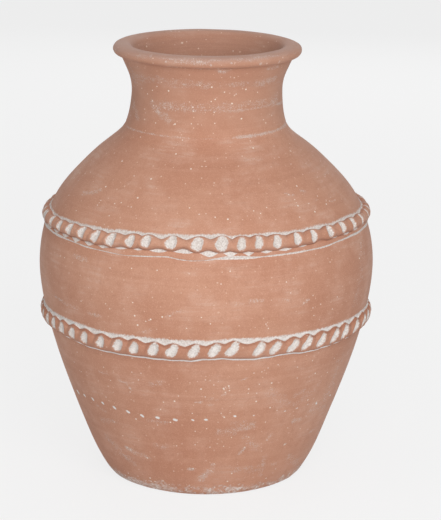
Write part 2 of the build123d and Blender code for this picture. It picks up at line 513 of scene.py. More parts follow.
# Where the lime in the neck's groove is strong: degrees at which it starts, is full, fades and ends
groove_lime_spans = ((-84, -70, -30, -16), (14, 26, 80, 92))


def neck_lime(s, around):
    """Lime caught in the groove at the bottom of the neck, strong on two sides."""
    line = groove_line(around, groove_lime_rise)
    degrees = np.degrees(wrapped(around))
    left, right = (
        smooth(start, full, degrees) * (1 - smooth(fade, end, degrees))
        for start, full, fade, end in groove_lime_spans)
    rest = 0.35 + 0.3 * wave(around, 41, 11)
    behind = abs(degrees) > groove_lime_spans[-1][-1]
    strength = np.maximum.reduce([left * 0.75, right, np.where(behind, rest, 0.1)])
    width = 1.1 + 0.9 * right + 0.5 * wave(around, 42, 23)
    return np.clip(strength * 1.1 - 0.25 - ((s - line) / width) ** 2, -1, 1)


# How strong the dust along the bottom edge is: degrees round the jar and strength
foot_dust = (
    (-180, 0.8), (-80, 0.8), (-66, 1.1), (-56, 1.45), (-40, 1.6), (-14, 1.35), (-5, 0.8), (3, 1.3), (12, 1.4),
    (22, 1.15), (30, 0.8), (45, 0.8), (56, 1.0), (66, 1.25), (78, 1.1), (90, 0.7), (180, 0.8))


def foot_lime(s, around):
    """Crumbs of lime along the bottom edge, just above the bare arris."""
    middle = 7.5
    reach = 8.5 + 2.6 * wave(around, 43, 17) + 2.2 * wave(around, 44, 60)
    crumbly = noise(around, s, 45, 170, 2.6) + 0.9 * noise(around, s, 46, 290, 1.3) - 0.45
    return np.clip(by_angle(around, foot_dust) - ((s - middle) / reach) ** 2 + crumbly, -1, 1)


# Meshes: a piece is a grid of rings, closed on itself or at the axis
def grid_piece(name, points, node, closed, sharp_rows, marks, first_marked, inside):
    """A closed piece from rings of points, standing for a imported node, with its paint."""
    rows, columns, _ = points.shape
    body = points.reshape(-1, 3)
    if not closed:
        body = np.concatenate([body, points[:1].mean(axis=1), points[-1:].mean(axis=1)])
    row = np.arange(rows if closed else rows - 1)[:, None]
    column = np.arange(columns)[None, :]
    after = (column + 1) % columns
    above = (row + 1) % rows
    quads = np.stack(np.broadcast_arrays(
        row * columns + column, row * columns + after,
        above * columns + after, above * columns + column), axis=-1).reshape(-1, 4)
    fans = np.zeros((0, 3), int)
    if not closed:
        ring = column[0]
        turn = after[0]
        low_end = np.full(columns, rows * columns)
        top_ring = (rows - 1) * columns
        low_fan = np.stack([low_end, turn, ring], axis=-1)
        high_fan = np.stack([top_ring + ring, top_ring + turn, low_end + 1], axis=-1)
        fans = np.concatenate([low_fan, high_fan])
    mesh = bpy.data.meshes.new(name)
    mesh.vertices.add(len(body))
    mesh.vertices.foreach_set("co", body.astype(np.float32).ravel())
    loops = np.concatenate([quads.ravel(), fans.ravel()])
    mesh.loops.add(len(loops))
    mesh.loops.foreach_set("vertex_index", loops.astype(np.int32))
    sizes = np.concatenate([np.full(len(quads), 4), np.full(len(fans), 3)])
    starts = np.concatenate([[0], np.cumsum(sizes)[:-1]])
    mesh.polygons.add(len(sizes))
    mesh.polygons.foreach_set("loop_start", starts.astype(np.int32))
    mesh.update(calc_edges=True)
    mesh.validate()
    mesh.shade_smooth()
    mark_sharp(mesh, columns, sharp_rows)
    for key, blank in unmarked.items():
        paint(mesh, key, blank, marks.get(key, ()), first_marked * columns)
    paint(mesh, "inside", -1.0, np.repeat(inside, columns), 0)
    piece = bpy.data.objects.new(name, mesh)
    bpy.context.scene.collection.objects.link(piece)
    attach(piece, "root")
    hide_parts(node)
    return piece


def paint(mesh, key, blank, values, first):
    """Writes a value at each point: those given from the first point on, and blank elsewhere."""
    size = 3 if key == "fleck" else 1
    full = np.full((len(mesh.vertices), size), blank)
    given = np.reshape(values, (-1, size))
    full[first:first + len(given)] = given
    kind, field = ("FLOAT_VECTOR", "vector") if size == 3 else ("FLOAT", "value")
    layer = mesh.attributes.new(key, kind, "POINT")
    layer.data.foreach_set(field, full.astype(np.float32).ravel())


def mark_sharp(mesh, columns, sharp_rows):
    """Splits the shading along some rings, so that hidden joint faces don't bend it."""
    ends = np.zeros(len(mesh.edges) * 2, np.int32)
    mesh.edges.foreach_get("vertices", ends)
    ends = ends.reshape(-1, 2) // columns
    crease = (ends[:, 0] == ends[:, 1]) & np.isin(ends[:, 0], sharp_rows)
    layer = mesh.attributes.new("sharp_edge", "BOOLEAN", "EDGE")
    layer.data.foreach_set("value", crease)


def steps(low, high, step):
    """Evenly spaced values from low to high, no further apart than a step."""
    return np.linspace(low, high, max(2, math.ceil((high - low) / step) + 1))


def inner_rings(s, around):
    """Points on the inside of the wall, facing arc lengths on the outside."""
    radius, height, out_r, out_z = skin_at(s)
    thickness = wall_thickness + lip_thickening * smooth(tilt_start, neck_top, height)
    off = 0.5 * wall_wobble(s, around) - thickness
    return placed(radius + out_r * off, height + out_z * off, around)


# Heights between which the wall's rings lie closer
fine_zones = ((prick_height - 4, prick_height + 4), (352, 375))


def outer_rows(low, high):
    """Arc lengths of a wall section's rings, closer where something fine crosses it."""
    parts = [low]
    fine = [(s_at(start), s_at(end)) for start, end in fine_zones]
    at = low
    while at < high - 1e-6:
        near = any(start - wall_step < at < end for start, end in fine)
        at = at + (fine_step if near else wall_step)
        parts.append(at)
    if high - parts[-2] < 0.5 * (parts[-2] - parts[-3]):
        parts.pop(-2)
    parts[-1] = high
    return np.array(parts)


# Zones of the rope bands, as arc lengths from the middle of each coil
upper_middle = belly_top
lower_middle = lower_wall_top
upper_zone = (-21.0, 19.0)
lower_zone = (-18.0, 23.0)
under_band = 1.3
band_overlap = 1.2
band_back = -0.7
band_lift = 0.03


def band_dip(s):
    """Lets the wall sink out of the way under the bands, which stand for it there."""
    dip = np.zeros_like(s)
    for middle, (low, high) in ((upper_middle, upper_zone), (lower_middle, lower_zone)):
        start = s_at(middle) + low + band_overlap
        end = s_at(middle) + high - band_overlap
        dip += smooth(start, start + 2.0, s) * (1 - smooth(end - 2.0, end, s))
    return -under_band * dip


def make_wall(name, node, low_height, high_height, back_step):
    """One clay section of the wall, closed on itself."""
    around = angles(wall_columns)[None, :]
    s = outer_rows(s_at(low_height), s_at(high_height))[:, None]
    grid_s, grid_t = np.broadcast_arrays(s, around)
    marks, pits = wall_marks(grid_s, grid_t)
    outside = wall_point(grid_s, grid_t, band_dip(grid_s) + pits)
    back_s = steps(s[0, 0], s[-1, 0], back_step)[::-1, None]
    inside = inner_rings(*np.broadcast_arrays(back_s, around))
    points = np.concatenate([outside, inside])
    front = len(outside)
    sharp = (0, front - 1, front, len(points) - 1)
    within = np.arange(len(points)) >= front
    return grid_piece(name, points, node, True, sharp, marks, 0, within)


# How tight the foot's rounded edge is round the jar: degrees, and 1 for a sharp corner
foot_tightness = (
    (-180, 0.85), (-75, 0.92), (-62, 0.92), (-45, 0.8), (-32, 0.78), (-15, 0.9), (0, 0.97), (15, 0.97),
    (32, 0.92), (45, 0.9), (60, 0.95), (180, 0.85))


def by_angle(around, table):
    """The value that a table of degrees and values has at angles round the jar."""
    degrees, values = zip(*table)
    return np.interp(np.degrees(wrapped(around)), degrees, values)


# The bottom of the jar: its rounded edge, the rings under it and the floor inside
edge_round = 8.0
edge_steps = 10
under_radii = (6.0, 40.0, 75.0)
dish_start = 28.0
dish_lean = 0.42
floor_bend = 13.0
floor_radii = (70.0, 45.0, 20.0, 5.0)


def cubic_bend(points, share):
    """The place at a share of the way along a cubic curve with four control points."""
    rest = 1 - share
    shares = (rest ** 3, 3 * share * rest ** 2, 3 * share ** 2 * rest, share ** 3)
    return [sum(part * value for part, value in zip(shares, values)) for values in zip(*points)]


def dish_rings(wall_foot, around):
    """The inside of the floor, in rings from the wall's foot to the middle."""
    start_r = np.hypot(wall_foot[:, 0], wall_foot[:, 1]) / MM
    start_z = wall_foot[:, 2] / MM
    corner_r = start_r - (start_z - floor_thickness) * dish_lean
    flat_r = corner_r - floor_bend
    rings = []
    for share in (0.25, 0.5, 0.75, 1.0):
        keep = (1 - share) ** 2
        pull = 2 * share * (1 - share)
        radius = keep * start_r + pull * corner_r + share * share * flat_r
        height = keep * start_z + (pull + share * share) * floor_thickness
        rings.append(placed(radius[None, :], height[None, :], around))
    for radius in floor_radii:
        height = floor_thickness + 0.25 * math.cos(radius)
        rings.append(placed(radius + 0 * around, height + 0 * around, around))
    return rings


def make_base(name, node):
    """The bottom of the jar: a floor with a soft, slightly ragged foot and the start of the wall."""
    around = angles(wall_columns)[None, :]
    corner = skin_r[0]
    wall_r = np.interp(edge_round, skin_z, skin_r)
    ragged = 0.28 * wave(around, 51, 90) + 0.24 * wave(around, 52, 31)
    slack = 1 - by_angle(around, foot_tightness)
    bend = (
        (corner - edge_round, 0), (corner - edge_round * slack, 0),
        (corner + (wall_r - corner) * slack, edge_round * slack), (wall_r, edge_round))
    rings = [placed(radius + 0 * around, 0 * around, around) for radius in under_radii]
    edge_s = []
    for share in np.linspace(0, 1, edge_steps)[:-1]:
        radius, height = cubic_bend(bend, share)
        rings.append(placed(radius + ragged * share, height, around))
        edge_s.append(s_at(height))
    under = np.concatenate(rings)
    s = outer_rows(s_at(edge_round), s_at(base_top))[:, None]
    grid_s = np.concatenate([*edge_s, s + 0 * around])
    grid_t = np.broadcast_to(around, grid_s.shape)
    marks, pits = wall_marks(grid_s, grid_t)
    edge = len(edge_s)
    worn = ragged * np.exp(-(((grid_s - edge_round) / 5.0) ** 2))
    outside = wall_point(grid_s[edge:], grid_t[edge:], (pits + worn)[edge:])
    back_s = steps(s_at(dish_start), s_at(base_top), fine_back_step)[::-1, None]
    inside = inner_rings(*np.broadcast_arrays(back_s, around))
    points = np.concatenate([under, outside, inside, *dish_rings(inside[-1], around)])
    front = len(under) + len(outside)
    within = np.arange(len(points)) >= front
    return grid_piece(
        name, points, node, False, (front - 1, front), marks, len(under) - edge, within)


# The rolled lip: its section in millimetres, from the crease outside to the joint inside
crease_radius = 88.0
crest_radius = 83.5
bulge_radius = 95.4
bulge_height = 443.0
crest_height = 448.9
mouth_turn_radius = 79.0
mouth_run = 3.0
under_rows = 15
over_rows = 24
mouth_rows = 14


def rim_section():
    """Radius and height along the lip, from the crease over the crest to the inner joint."""
    under = np.linspace(0, math.pi / 2, under_rows + 1)[:-1]
    over = np.linspace(0, math.pi / 2, over_rows)
    under_r = crease_radius + (bulge_radius - crease_radius) * np.sin(under) ** 0.8
    under_z = bulge_height - (bulge_height - neck_top) * np.cos(under)
    over_r = crest_radius + (bulge_radius - crest_radius) * np.cos(over) ** 0.62
    over_z = bulge_height + (crest_height - bulge_height) * np.sin(over)
    _, _, out_r, out_z = skin_at(s_at(neck_top))
    end_r = crease_radius - (wall_thickness + lip_thickening) * out_r
    end_z = neck_top - (wall_thickness + lip_thickening) * out_z
    bend = (
        (crest_radius, crest_height), (mouth_turn_radius, crest_height),
        (end_r - out_z * mouth_run, end_z + out_r * mouth_run), (end_r, end_z))
    mouth_r, mouth_z = cubic_bend(bend, np.linspace(0, 1, mouth_rows + 1)[1:])
    return np.concatenate([under_r, over_r, mouth_r]), np.concatenate([under_z, over_z, mouth_z])


def make_rim(name, node):
    """The lip, rolled over by hand, with a softly uneven roll and crest."""
    around = angles(wall_columns)[None, :]
    radius, height = rim_section()
    radius = radius[:, None] + 0 * around
    height = height[:, None] + 0 * around
    outward = smooth(crest_radius - 3, bulge_radius, radius)
    lift = smooth(neck_top + 2, bulge_height, height)
    swell = 0.4 * wave(around, 61, 5) + 0.2 * wave(around, 62, 19) + 0.08 * wave(around, 65, 57)
    crest = 0.3 * wave(around, 63, 6) + 0.12 * wave(around, 64, 27)
    points = placed(radius + outward * swell, height + lift * crest, around)
    top = s_at(neck_top) + 0 * around
    rows = np.arange(len(points))
    from_crease = 1 - smooth(0, under_rows, rows)[:, None, None]
    from_crest = smooth(under_rows + over_rows - 1, len(points) - 1, rows)[:, None, None]
    crease_gap = wall_point(top, around, 0.0)[0] - points[0]
    joint_gap = inner_rings(top, around)[0] - points[-1]
    points = points + from_crease * crease_gap + from_crest * joint_gap
    front = under_rows + over_rows
    smear = np.full((front, wall_columns), unmarked["smear"])
    lip_marks(smear, height[:front], around)
    # The darker inside colour fades in over the mouth, darkening it gradually into the jar: partly painted
    # shade.
    within = smooth(front, len(points) - 1, rows)
    return grid_piece(
        name, points, node, True, (0, len(points) - 1), {"smear": smear}, 0, within)


# Lime rubbed on the front of the lip: angle, height, half length, half width and strength
lip_smears = (
    (-4.0, 444.6, 8.0, 3.2, 0.55), (-5.0, 444.6, 3.0, 1.6, 0.8), (5.0, 446.6, 14.0, 1.8, 0.3),
    (18.0, 447.2, 14.0, 1.4, 0.4), (34.0, 447.4, 16.0, 1.3, 0.45), (46.0, 446.8, 10.0, 1.6, 0.3),
    (-24.0, 446.0, 14.0, 2.0, 0.15), (-14.0, 444.0, 9.0, 2.4, 0.25), (-45.0, 446.0, 12.0, 1.6, 0.15),
    (70.0, 445.0, 14.0, 1.4, 0.3), (120.0, 441.0, 14.0, 2.0, 0.4), (175.0, 444.0, 12.0, 1.8, 0.4),
    (232.0, 440.0, 9.0, 2.4, 0.5), (-75.0, 444.5, 16.0, 1.4, 0.3), (-10.0, 444.6, 34.0, 5.0, 0.25),
    (28.0, 446.0, 40.0, 3.0, 0.1), (-40.0, 445.5, 30.0, 4.0, 0.0), (33.4, 441.4, 1.3, 1.3, 1.9),
    (14.4, 443.6, 1.0, 1.0, 1.6), (2.1, 441.7, 1.1, 1.1, 1.8), (-36.7, 447.0, 1.1, 1.1, 1.8),
    (-25.0, 443.5, 1.1, 1.1, 1.6), (48.6, 440.7, 0.9, 0.9, 1.6),
)


def lip_marks(smear, height, around):
    """Paints the lime that is rubbed on the lip."""
    for degrees, level, length, width, strength in lip_smears:
        sideways = wrapped(around - math.radians(degrees)) * bulge_radius / length
        value = strength - sideways ** 2 - ((height - level) / width) ** 2
        np.maximum(smear, np.clip(value, -1, 1), out=smear)


# Rope bands. Columns of the photograph at which dents show, left to right
upper_dent_columns = (
    43.0, 46.3, 52.4, 60.5, 70.1, 82.3, 96, 111.6, 130.6, 146.3, 171.3, 197.7, 222.2, 241.9, 259.1, 277.3,
    297.5, 313.9, 330.5, 343.2, 353.5, 361.6, 366.8)
lower_dent_columns = (
    44.2, 48.4, 54, 61.8, 72.2, 84.2, 100.3, 117.8, 133.6, 153.1, 171.8, 193.7, 214.4, 232.2, 259,
    275.4, 292.9, 306.7, 321.5, 335.1, 345.5, 356.3, 363.6, 367.6)

# The radius of each coil, the radius at which its dents show, and how many dents go round it
upper_coil_radius = 165.5
upper_shown_radius = 165.8
upper_dent_count = 52
lower_coil_radius = 167.0
lower_shown_radius = 170.2
lower_dent_count = 55

# Where a band's rings run: beside its lime line in mm, and above its coil by share of the way
line_offsets = (-1.1, -0.8, -0.5, -0.25, 0.0, 0.25, 0.5, 0.8, 1.1)
head_shares = (0.03, 0.08, 0.14, 0.2, 0.27, 0.34, 0.42, 0.5, 0.6, 0.72, 0.85, 0.995)
foot_shares = np.linspace(0, 1, 8)

# Gaps in mm between those groups of rings: inside the band's end, below the line, below the coil
edge_gap = 0.06
line_gap = 0.2
coil_gap = 0.25


def dents_round(columns, radius, height, count, seed):
    """Sorted angles of all dents: the seen ones, and the others spaced over the back."""
    front = column_angles(np.array(columns), radius, height)
    hidden = count - len(front)
    random = np.random.default_rng(seed)
    gap = (front[0] + 2 * math.pi - front[-1]) / (hidden + 1)
    back = front[-1] + gap * (np.arange(hidden) + 1 + random.uniform(-0.22, 0.22, hidden))
    return np.sort(wrapped(np.concatenate([front, back])))


class Band:
    """One rope band: where its dents are, and how each differs from the next."""

    def __init__(self, middle, radius, shown_radius, columns, count, seed):
        self.middle = s_at(middle)
        self.radius = radius
        self.dents = dents_round(columns, shown_radius, middle, count, seed)
        self.random = np.random.default_rng(seed + 1)
        self.count = count

    def spread(self, low, high):
        """A value for each dent, random between two bounds."""
        return self.random.uniform(low, high, self.count)

    def nearest(self, around):
        """Index of the nearest dent, and how far between two waists an angle lies, -1 to 1."""
        dents = np.concatenate([[self.dents[-1] - 2 * math.pi], self.dents, [self.dents[0] + 2 * math.pi]])
        waists = 0.5 * (dents[1:] + dents[:-1])
        angle = wrapped(around)
        angle = np.where(angle < waists[0], angle + 2 * math.pi, angle)
        angle = np.where(angle >= waists[-1], angle - 2 * math.pi, angle)
        index = np.clip(np.searchsorted(waists, angle, side="right") - 1, 0, self.count - 1)
        centre = self.dents[index]
        left = waists[index]
        right = waists[index + 1]
        away = angle - centre
        phase = np.where(away < 0, away / (centre - left), away / (right - centre))
        return index, phase


def between_dents(band, around, values):
    """A per-dent value eased from dent to dent round the jar."""
    turn = 2 * math.pi
    spots = np.concatenate([band.dents - turn, band.dents, band.dents + turn])
    return np.interp(wrapped(around), spots, np.tile(values, 3))


def dent_shape(band, v, around, looks):
    """Signed distance into the nearest dents in mm, positive inside, and their bowl."""
    inside = np.full(v.shape, -9.0)
    bowl = np.zeros(v.shape)
    ridge = np.zeros(v.shape)
    index, _ = band.nearest(around)
    for shift in (-1, 0, 1):
        near = (index + shift) % band.count
        across = wrapped(around - band.dents[near]) * band.radius
        rise = v - looks["offset"][near]
        slant = looks["slant"][near]
        length = looks["length"][near] / 2
        width = looks["width"][near] / 2
        along = across * np.sin(slant) + rise * np.cos(slant)
        side = across * np.cos(slant) - rise * np.sin(slant)
        high = np.clip(along / length, -1.4, 1.4)
        taper = 1 - looks["taper"][near] * high
        side = side - looks["bend"][near] * (high * high - 0.4)
        pinch = 1 - looks["pinch"][near] * np.exp(-(((high - 0.25) / 0.35) ** 2)) * (side < 0)
        wide = width * taper * pinch
        rho = (np.abs(side / wide) ** 2.3 + np.abs(along / length) ** 2.6) ** (1 / 2.4)
        reach = (1 - rho) * np.minimum(width, length)
        inside = np.maximum(inside, reach)
        bowl = np.maximum(bowl, looks["depth"][near] * smooth(-0.5, 2.6, reach))
        ridge = np.maximum(ridge, np.exp(-(((reach + 1.5) / 1.1) ** 2)))
    return inside, bowl, ridge


# The strands are flatter at the jar's two sides: degrees round it and share of the depth
limb_depth_shares = (
    (-180, 1.0), (-112, 1.0), (-98, 0.5), (-80, 0.5), (-68, 1.0), (68, 1.0), (80, 0.5), (98, 0.5), (112, 1.0),
    (180, 1.0))


def dent_looks(band, lengths, widths, depth, slants, taper, offsets):
    """Length, width, depth, slant and so on of every dent, each a little different."""
    return {
        "length": by_angle(band.dents, lengths) * band.spread(0.96, 1.04),
        "width": by_angle(band.dents, widths) * band.spread(0.94, 1.06),
        "depth": depth * by_angle(band.dents, limb_depth_shares) * band.spread(0.85, 1.1),
        "slant": np.radians(by_angle(band.dents, slants) + band.spread(-4, 4)),
        "taper": taper * band.spread(0.6, 1.4),
        "bend": band.spread(-0.6, 0.9),
        "pinch": band.spread(0.0, 0.3),
        "offset": band.spread(-0.4, 0.4) + by_angle(band.dents, offsets),
    }


def bumps(band, around, shift, width, power):
    """1 over each dent and 0 at the waists between dents, as bumps of a steady width."""
    index, _ = band.nearest(around + shift)
    height = np.zeros(np.broadcast(around, shift).shape)
    for step in (-1, 0, 1):
        near = (index + step) % band.count
        across = wrapped(around + shift - band.dents[near]) * band.radius
        height = np.maximum(height, np.exp(-(np.abs(across / width) ** power)))
    return height


def band_piece(name, node, band, zone, top, low, flange, proud, looks, lime):
    """A band as rings that follow its scalloped edges, closed by a back inside the wall."""
    around = angles(band_columns)[None, :]
    zone_low, zone_high = zone
    ring_s = []
    ring_h = []
    ring_kind = []

    def add(v, h, kind):
        ring_s.append(v + 0 * around)
        ring_h.append(h + 0 * around)
        ring_kind.append(kind)

    step_up = lime["step"]
    add(zone_low, band_back, "edge")
    line_low = flange + line_offsets[0]
    line_high = flange + line_offsets[-1]
    for share in foot_shares[:-1]:
        add(zone_low + edge_gap + share * (line_low - line_gap - zone_low), band_lift, "foot")
    for offset in line_offsets:
        climb = smooth(-0.5, 0.5, offset) * step_up + lime["ridge"] * math.exp(-((offset / 0.6) ** 2))
        add(flange + offset, band_lift + climb, "line")
    for share in foot_shares[1:-1]:
        add(line_high + share * (low - coil_gap - line_high), band_lift + step_up, "ledge")
    add(low - coil_gap, band_lift + step_up * 0.9, "ledge")
    middle = 0.5 * (top + low)
    half = 0.5 * (top - low)
    for bend in np.linspace(0, math.pi, coil_rows):
        round_out = math.sin(bend) ** 0.72
        add(middle - half * math.cos(bend), band_lift * 0.5 + proud * round_out, "coil")
    for share in head_shares:
        add(top + share * (zone_high - top), band_lift, "head")
    add(zone_high, band_back, "edge")
    v = np.concatenate(ring_s)
    h = np.concatenate(ring_h)
    kind = np.array(ring_kind)[:, None]
    grid_t = np.broadcast_to(around, v.shape)
    inside, bowl, ridge = dent_shape(band, v, grid_t, looks)
    on_coil = kind == "coil"
    height_share = np.where(on_coil, smooth(0, 0.75 * proud, h), 0)
    h = h + height_share * (looks["swell"] * ridge - bowl)
    h = h + height_share * groove_between(band, grid_t, v, looks, top, low)
    h = h + height_share * (0.24 * noise(grid_t, v, 71, 130, 7.0) + 0.05 * noise(grid_t, v, 72, 400, 2.8))
    s = band.middle + v
    marks, _ = wall_marks(s, grid_t)
    ragged = lime["dent_edge"] + 0.22 * noise(grid_t, v, 73, 700, 1.5)
    ragged = ragged - lime["dent_fade"] * smooth(0, -8, v - middle)
    dents = np.where(h > 0.4, np.clip(inside * 0.48 + ragged, -1, 1), -1.0)
    chalk = np.where(on_coil, dents, marks["chalk"])
    marks["chalk"] = np.maximum(chalk, band_lime(kind, v, grid_t, top, flange, lime))
    # Painted shade: darker clay along the coil's edges and underside, and over the whole coil by a share
    # given per band.
    marks["shade"] = painted_edge_shade(on_coil, v, top, low) + np.where(on_coil, lime["coil_painted_shade"], 0.0)
    # Lime whitened towards near white on the wash near the coil's top, the dents' middles and the thin line
    # below the coil: partly whiter lime, partly painted light where the lime lies in shade.
    washed = lime["wash_whitening"] * smooth(4.5, 0.5, v - top)
    filled = np.where(on_coil, lime["dent_whitening"] * smooth(0.2, 2.8, inside), washed)
    marks["whiter_lime_and_painted_light"] = np.where(kind == "line", lime["whiter_lime_and_painted_light"], filled)
    outside = wall_point(s, grid_t, np.where(kind == "edge", band_back, h))
    back_v = np.linspace(zone_high, zone_low, 5)[:, None]
    back = wall_point(*np.broadcast_arrays(band.middle + back_v, around), band_back - 0.05)
    for end in (0, -1):
        back[end] = wall_point(band.middle + back_v[end] + 0 * around, around, band_back - 0.3)
    points = np.concatenate([outside, back])
    front = len(outside)
    return grid_piece(
        name, points, node, True, (0, 1, front - 2, front - 1), marks, 0,
        np.zeros(len(points)))


def painted_edge_shade(on_coil, v, top, low):
    """Painted shade: 1 along the coil's top edge, up to 0.8 on a wider strip of its underside."""
    across = 2 * (v - low) / (top - low) - 1
    return np.where(on_coil, smooth(0.74, 0.93, across) + 0.8 * smooth(0.4, 0.95, -across), 0.0)


def groove_between(band, around, v, looks, top, low):
    """Shallow slanted grooves that part the strands, deepest at the upper edge."""
    slant = between_dents(band, around, looks["slant"])
    middle = 0.5 * (top + low)
    _, phase = band.nearest(around - (v - middle) * np.tan(slant) / band.radius)
    gap = 1 - np.abs(phase)
    depth = looks["groove"] * smooth(-3, 8, v - middle) + 0.2
    return -depth * np.exp(-((gap / 0.17) ** 2))


def band_lime(kind, v, around, top, flange, lime):
    """Lime in the creases beside the coil, and along the thin line below it."""
    ragged = 0.16 * noise(around, v, 74, 500, 1.8)
    above = np.clip((lime["top_edge"] - v) / lime["top_soft"] + ragged, -1, 1) + lime["top_gain"]
    head = np.isin(kind, ("head", "edge")) & (v > top - 0.01)
    crease = (kind == "coil") & (v > top - 0.05)
    amount = np.where(head | crease, np.clip(above, -1, 1), -1.0)
    below = np.isin(kind, ("ledge", "line", "foot"))
    patch = (1 + np.clip((v - lime["patch_edge"]) / 0.7 + ragged, -1, 1)) * lime["patch_gain"] - 1
    thin = lime["line_strength"] - np.abs(v - flange + lime["line_drop"]) / lime["line_half"] + ragged
    return np.where(below, np.maximum.reduce([amount, patch, np.clip(thin, -1, 1)]), amount)


# How the upper band changes on its way round the jar: pairs of degrees and a value in mm
upper_wander = (
    (-180, -3), (-110, -4.5), (-95, -3.5), (-80, -2.2), (-62, -1.6), (-48, -0.6), (-42, -1.1), (-35, -1.4),
    (-27, 0.5), (-20, 1.3), (-12, 1.9), (-3, 1.2), (5, 1.5), (12, 0.7), (18, 0.7), (25, 0.1), (32, -0.2),
    (46, 0.2), (60, 0), (75, -1.6), (90, -3.5), (110, -4.5), (180, -3))
upper_tallness = (
    (-180, 13.4), (-75, 13), (-45, 14.4), (-35, 15.4), (-27, 15.0), (-12, 15.5), (-3, 15.9), (6, 16.9),
    (13, 16.6), (20, 16.6), (27, 15.2), (45, 14.2), (75, 13), (180, 13.4),
)
upper_proud = ((-180, 6.7), (-115, 6.3), (-98, 5.5), (-84, 6.0), (-70, 6.7), (180, 6.7))
upper_dips = (
    (-180, 2.4), (-75, 1.6), (-30, 2.0), (-18, 3.6), (8, 4.0), (14, 2.6), (27, 2.2), (75, 1.8), (180, 2.4))
upper_line = (
    (-180, -14.2), (-110, -15.0), (-92, -13.8), (-76, -12.2), (-60, -11.9), (-44, -12.6), (-28, -13.6),
    (-13, -11.5), (-9, -13.4), (-4.8, -14.3), (0, -13.8), (3.2, -12.4), (6.8, -11.8), (12, -12.2),
    (16.6, -12.9), (29, -12.4), (44, -11.9), (52, -11.4), (62, -11.0), (76, -11.8), (92, -13.6),
    (110, -15.0), (180, -14.2),
)
upper_line_strength = (
    (-180, 0.5), (-84, 1.2), (-64, 1.2), (-58, 0.7), (-38, 0.75), (-31, 0.45), (-24, 0.85), (-12, 0.85),
    (-6, 0.4), (-2, 0.4), (2, 0.9), (6, 1.2), (16, 1.1), (19, 0.6), (28, 0.9), (60, 1.2), (84, 1.3),
    (110, 0.6), (180, 0.5),
)
upper_line_half = (
    (-180, 0.7), (-80, 1.4), (-68, 1.1), (-58, 0.65), (-30, 0.6), (3, 0.8), (8, 1.6), (15, 1.4), (20, 0.7),
    (48, 0.7), (62, 0.9), (84, 1.0), (100, 0.7), (180, 0.7))
upper_patches = (
    (-180, 3.0), (-70, 4.2), (-35, 4.6), (-12, 3.6), (-2, 4.4), (4, 6.5), (8, 8.0), (14, 7.0), (18, 3.6),
    (32, 3.4), (40, 1.2), (52, 1.6), (60, 2.6), (70, 2.2), (180, 3.0))
upper_wash = ((-180, 2.0), (-45, 1.8), (-20, 2.8), (8, 3.4), (30, 2.4), (60, 2.0), (180, 2.0))
upper_wash_gain = (
    (-180, 0.0), (-80, -0.2), (-60, 0.0), (-20, 0.15), (15, 0.1), (28, -0.1), (66, -0.2), (76, -0.55),
    (96, -0.6), (120, 0.0), (180, 0.0),
)
upper_wash_base = (
    (-180, 1.4), (-80, 1.4), (-60, 1.8), (-35, 2.2), (-20, 1.6), (0, 1.2), (14, 1.2), (24, 2.0), (38, 2.8),
    (62, 3.2), (80, 2.6), (110, 1.4), (180, 1.4))
upper_slants = (
    (-180, 16), (-60, 24), (-20, 25), (4, 21), (12, 14), (27, 13), (34, 8), (44, -8), (60, -14), (90, -4),
    (180, 16),
)
upper_lengths = (
    (-180, 12.6), (-60, 11.6), (-47, 12.4), (-35, 13.8), (-28, 13.2), (-22, 12.2), (-12, 13.4), (-3, 13.9),
    (5.5, 14.8), (12, 12.9), (20, 13.2), (27, 12.3), (41, 12.2), (50, 12.2), (70, 11.6), (180, 12.6))
upper_widths = (
    (-180, 8.4), (-60, 8.2), (-35, 8.8), (-22, 9.2), (-12, 10.8), (6, 11.4), (12, 8.4), (27, 8.7), (41, 8.0),
    (62, 8.0), (74, 6.2), (96, 5.0), (112, 8.4), (180, 8.4))


